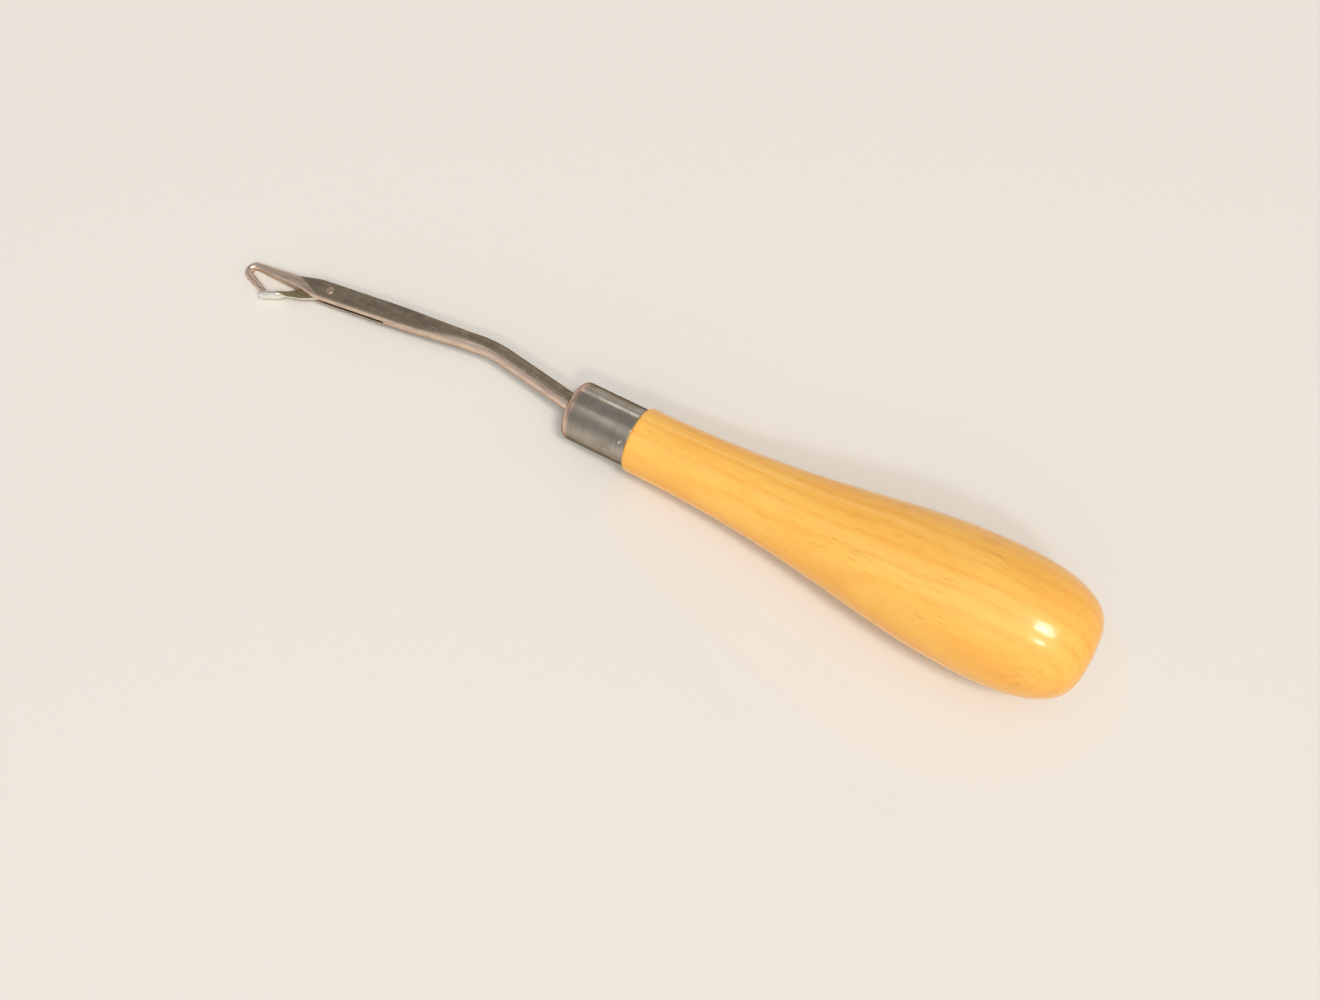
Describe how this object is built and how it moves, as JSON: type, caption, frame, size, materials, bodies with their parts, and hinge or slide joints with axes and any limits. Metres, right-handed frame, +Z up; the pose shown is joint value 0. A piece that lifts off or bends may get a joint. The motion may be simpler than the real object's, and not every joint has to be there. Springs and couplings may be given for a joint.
{
  "type": "latch hook tool",
  "caption": "Rug-making latch hook: turned wooden handle with a steel ferrule, and a cranked steel shank ending in an open hook that a small hinged latch shuts.",
  "frame": {"origin": "centre of the part's bounding box, on the surface that the tool lies on", "axes": "+X towards the handle's butt, along the tool; +Z up from the surface that it lies on; +Y towards the side that the crank swells to, so the hook opens towards -Y"},
  "size_m": [0.1652, 0.023, 0.0235],
  "materials": {
    "varnished_beech": "glossy amber varnish over turned beech",
    "ferrule_steel": "drawn and polished, slightly dulled",
    "shank_steel": "aged grey-brown steel, dull on the pressed flats",
    "latch_steel": "bright plated steel",
    "rivet_steel": "peened steel"
  },
  "bodies": {
    "root": {"handle": "varnished_beech", "ferrule": "ferrule_steel", "shank": "shank_steel", "latch_rivet": "rivet_steel"},
    "latch": {"latch": "latch_steel"}
  },
  "joints": [
    {"name": "latch_swing", "type": "hinge", "parent": "root", "child": "latch", "pos_m": [-0.06464, -0.00069, 0.00201], "axis": [-0.0752, 0, 0.9972], "range_deg": [0, 144]}
  ]
}
